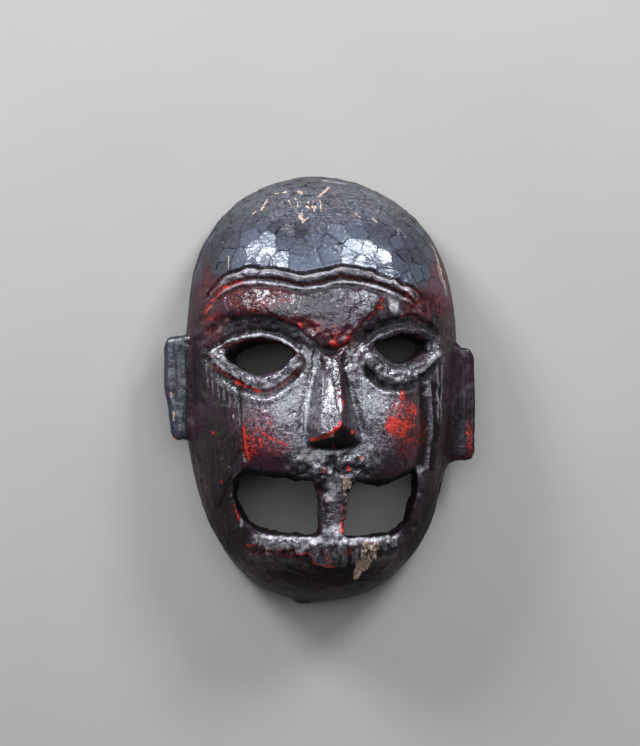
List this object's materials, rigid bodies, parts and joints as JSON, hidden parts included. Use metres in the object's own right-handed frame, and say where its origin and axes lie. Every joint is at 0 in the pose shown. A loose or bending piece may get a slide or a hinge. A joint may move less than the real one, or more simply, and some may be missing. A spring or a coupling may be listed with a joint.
{
  "type": "carved wooden face mask",
  "caption": "One-piece carved wooden face mask in dark worn lacquer: hollow behind, pierced eyes and mouth, slab ears, raised brow line and wedge nose.",
  "frame": {"origin": "on the plane of the back rim, under the middle of the mask and its ears", "axes": "+Z out of the face, +Y to the crown, +X to the right as seen from in front"},
  "size_m": [0.2006, 0.2772, 0.123],
  "materials": {
    "worn_lacquered_wood": "old black-brown lacquer over red, glossy where handled, worn to red and bare wood on edges, gouged and dull inside"
  },
  "bodies": {
    "root": {"mask": "worn_lacquered_wood"}
  },
  "joints": []
}
